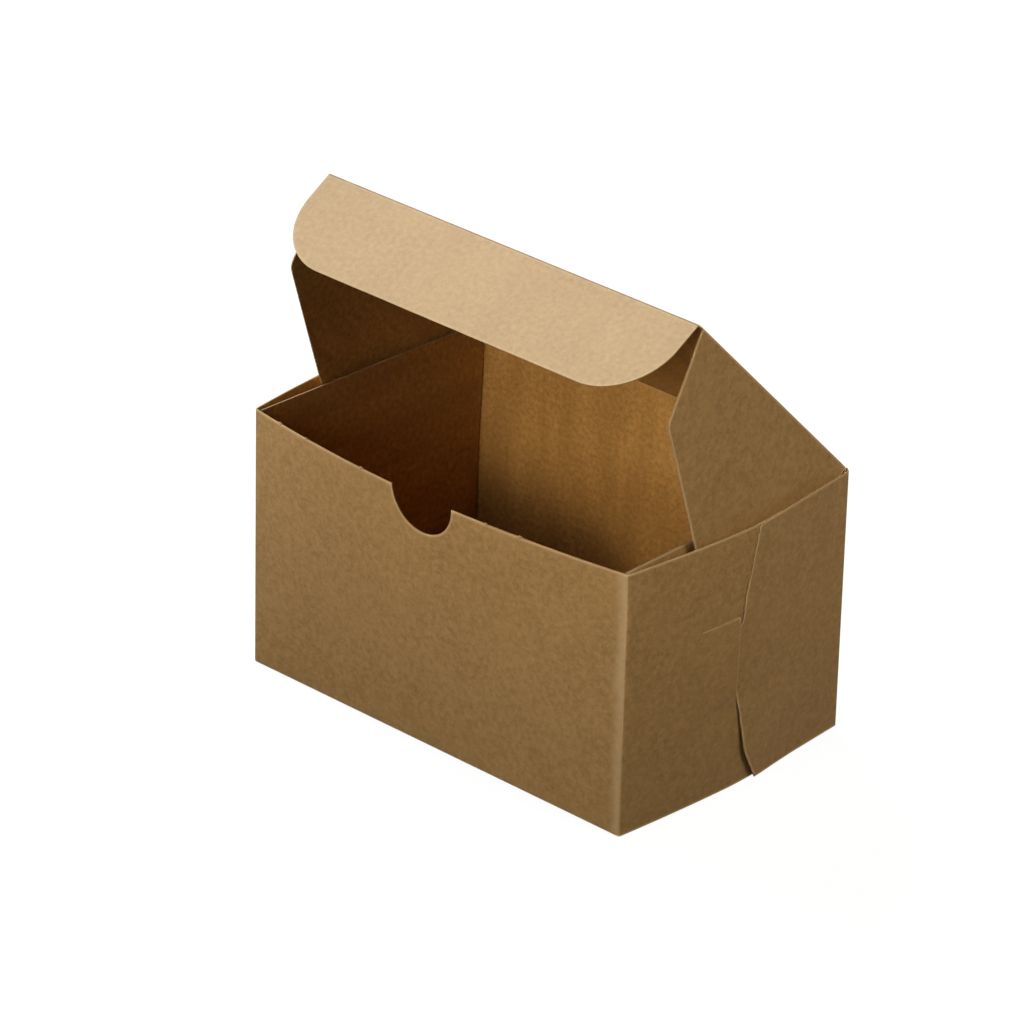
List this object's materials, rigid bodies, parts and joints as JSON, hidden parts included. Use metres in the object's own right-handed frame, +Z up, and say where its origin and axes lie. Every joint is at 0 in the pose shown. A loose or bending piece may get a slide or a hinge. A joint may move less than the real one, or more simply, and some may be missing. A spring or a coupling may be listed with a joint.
{
  "type": "kraft paperboard bakery box",
  "caption": "One-piece folded paperboard bakery box with locked ears at both ends, a round thumb notch and a hinged lid with side flaps and a tuck flap.",
  "frame": {"origin": "middle of the box's underside, on the table", "axes": "+X to the right along the front, the front wall with its thumb notch faces -Y, the lid hinges at +Y, +Z up"},
  "size_m": [0.1896, 0.1215, 0.1815],
  "materials": {
    "kraft_board": "uncoated, matt"
  },
  "bodies": {
    "tray": {"tray": "kraft_board"},
    "lid": {"lid": "kraft_board"},
    "tuck_flap": {"tuck_flap": "kraft_board"}
  },
  "joints": [
    {"name": "lid_hinge", "type": "hinge", "parent": "tray", "child": "lid", "pos_m": [0, 0.05675, 0.10125], "axis": [-1, 0, 0], "range_deg": [-45, 100]},
    {"name": "tuck_fold", "type": "hinge", "parent": "lid", "child": "tuck_flap", "pos_m": [0, -0.02329, 0.18129], "axis": [-1, 0, 0], "range_deg": [-34, 75.6]}
  ],
  "couplings": [
    {"joint": "tuck_fold", "follows": "lid_hinge", "ratio": 0.755}
  ]
}
